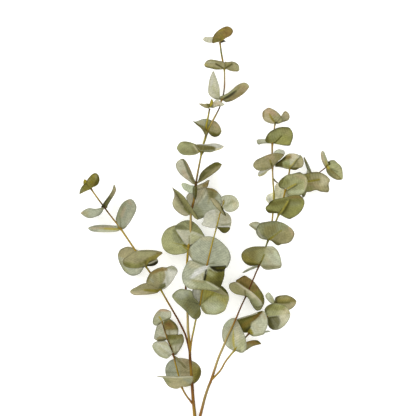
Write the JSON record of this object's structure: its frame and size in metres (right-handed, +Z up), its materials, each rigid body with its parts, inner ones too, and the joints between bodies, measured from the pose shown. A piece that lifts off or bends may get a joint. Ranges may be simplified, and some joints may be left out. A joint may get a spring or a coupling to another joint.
{
  "type": "eucalyptus branch",
  "caption": "Cut eucalyptus branch lying down, with slender forking stems and round grey-green leaves set in opposite pairs.",
  "frame": {"origin": "middle of the branch's box on the surface that it lies on", "axes": "+Z up from the surface, +Y from the cut end towards the tips, +X to the right seen from above"},
  "size_m": [0.3713, 0.6208, 0.0743],
  "materials": {
    "woody_stem": "smooth brown bark with leaves of the same shoot",
    "green_stem": "ochre green young stem with matte grey-green leaves"
  },
  "bodies": {
    "root": {"main_stem": "woody_stem", "left_shoot": "woody_stem", "lower_left_shoot": "woody_stem", "right_stem": "woody_stem", "right_lower_shoot": "woody_stem", "short_middle_shoot": "green_stem", "tall_side_sprig": "green_stem", "right_top_shoot": "green_stem", "far_right_shoot": "green_stem"}
  },
  "joints": []
}
